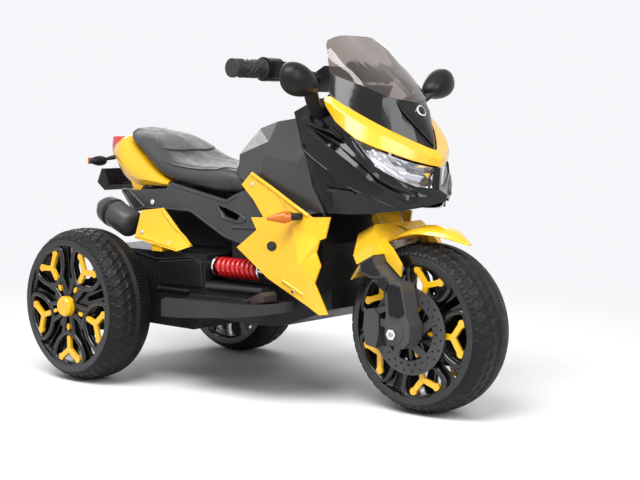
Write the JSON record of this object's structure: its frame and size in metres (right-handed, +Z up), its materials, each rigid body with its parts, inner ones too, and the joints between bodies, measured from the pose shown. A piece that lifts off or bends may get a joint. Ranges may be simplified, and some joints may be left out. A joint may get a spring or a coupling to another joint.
{
  "type": "kids ride-on motorbike",
  "caption": "Children's electric ride-on motorbike with a steered front wheel, wide rear wheels, saddle, windshield, footboards and a yellow and black fairing.",
  "frame": {"origin": "point on the floor under the middle of the overall length and width", "axes": "+X towards the front wheel, +Y to the rider's left, +Z up"},
  "size_m": [1.071, 0.59, 0.708],
  "materials": {
    "tyre_black": "matte",
    "rim_black": "gloss",
    "yellow": "satin gloss",
    "disc_grey": "satin",
    "steel": "brushed",
    "chrome": "polished",
    "bar_black": "satin",
    "grip_rubber": "matte",
    "bush_plastic": "matte",
    "body_black": "satin",
    "gloss_black": "gloss",
    "tank_grey": "gloss",
    "seat_grey": "matte",
    "board_grey": "satin",
    "pedal_brown": "matte",
    "spring_red": "gloss",
    "damper_metal": "brushed",
    "tail_red": "gloss",
    "amber": "gloss",
    "clear": "clear",
    "smoke": "smoked",
    "mirror_glass": "polished",
    "button_red": "gloss",
    "switch_black": "satin",
    "battery_grey": "matte"
  },
  "bodies": {
    "body": {"rear_axle": "steel", "rear_axle_nuts": "chrome", "steering_bushes": "bush_plastic", "chassis_pan": "body_black", "rear_housing": "body_black", "body_core": "body_black", "shock_absorbers": "damper_metal", "shock_springs": "spring_red", "seat_frame": "gloss_black", "seat": "seat_grey", "tail_cowl": "yellow", "tail_light": "tail_red", "plate_bracket": "body_black", "rear_panel_right": "yellow", "rear_panel_left": "yellow", "mufflers": "body_black", "tank_cover": "tank_grey", "side_fairing_right": "yellow", "side_fairing_left": "yellow", "front_cowl": "gloss_black", "headlight_lenses": "clear", "headlight_reflectors": "chrome", "upper_cowl": "gloss_black", "head_tube": "steel", "nose_trim": "yellow", "windshield": "smoke", "footboards": "board_grey", "battery": "battery_grey", "control_box": "battery_grey", "gear_motors": "battery_grey", "charge_socket": "switch_black", "dash_panel": "bar_black", "mirrors": "gloss_black", "mirror_glasses": "mirror_glass", "indicator_bodies": "body_black", "indicator_lenses": "amber", "panel_screws": "damper_metal"},
    "steering": {"steering_stem": "steel", "fork_legs": "disc_grey", "front_axle": "steel", "front_axle_nut": "chrome", "front_fender": "yellow", "brake_calipers": "disc_grey", "handlebar": "bar_black", "grips": "grip_rubber", "switch_housings": "bar_black"},
    "front_wheel": {"front_tyre": "tyre_black", "front_rim": "rim_black", "front_inserts": "yellow", "brake_discs": "disc_grey"},
    "rear_wheel_right": {"rear_tyre_right": "tyre_black", "rear_rim_right": "rim_black", "rear_inserts_right": "yellow"},
    "rear_wheel_left": {"rear_tyre_left": "tyre_black", "rear_rim_left": "rim_black", "rear_inserts_left": "yellow"},
    "pedal": {"accelerator_pedal": "pedal_brown"},
    "horn": {"horn_button": "button_red"},
    "starter": {"start_button": "button_red"},
    "drive_rocker": {"drive_switch": "switch_black"}
  },
  "joints": [
    {"name": "steering", "type": "hinge", "parent": "body", "child": "steering", "pos_m": [0.3755, 0, 0.16], "axis": [-0.454, 0, 0.891], "range_deg": [-30, 30]},
    {"name": "front_wheel_spin", "type": "hinge", "parent": "steering", "child": "front_wheel", "pos_m": [0.3755, 0, 0.16], "axis": [0, 1, 0], "continuous": true},
    {"name": "rear_wheel_right_spin", "type": "hinge", "parent": "body", "child": "rear_wheel_right", "pos_m": [-0.352, -0.228, 0.16], "axis": [0, 1, 0], "continuous": true},
    {"name": "rear_wheel_left_spin", "type": "hinge", "parent": "body", "child": "rear_wheel_left", "pos_m": [-0.352, 0.228, 0.16], "axis": [0, 1, 0], "continuous": true},
    {"name": "accelerator_press", "type": "hinge", "parent": "body", "child": "pedal", "pos_m": [0.094, -0.182, 0.1991], "axis": [0, 1, 0], "range_deg": [0, 9], "stiffness_Nm_per_rad": 0.3, "springref_deg": -11.46},
    {"name": "horn_press", "type": "slide", "parent": "steering", "child": "horn", "axis": [0.7071, 0, -0.7071], "range_m": [0, 0.003], "stiffness_N_per_m": 300, "springref_m": -0.001},
    {"name": "start_press", "type": "slide", "parent": "body", "child": "starter", "axis": [0.766, 0, -0.6428], "range_m": [0, 0.003], "stiffness_N_per_m": 300, "springref_m": -0.001},
    {"name": "drive_rock", "type": "hinge", "parent": "body", "child": "drive_rocker", "pos_m": [0.21353, 0.034, 0.59471], "axis": [0, 1, 0], "range_deg": [-8, 8]}
  ]
}
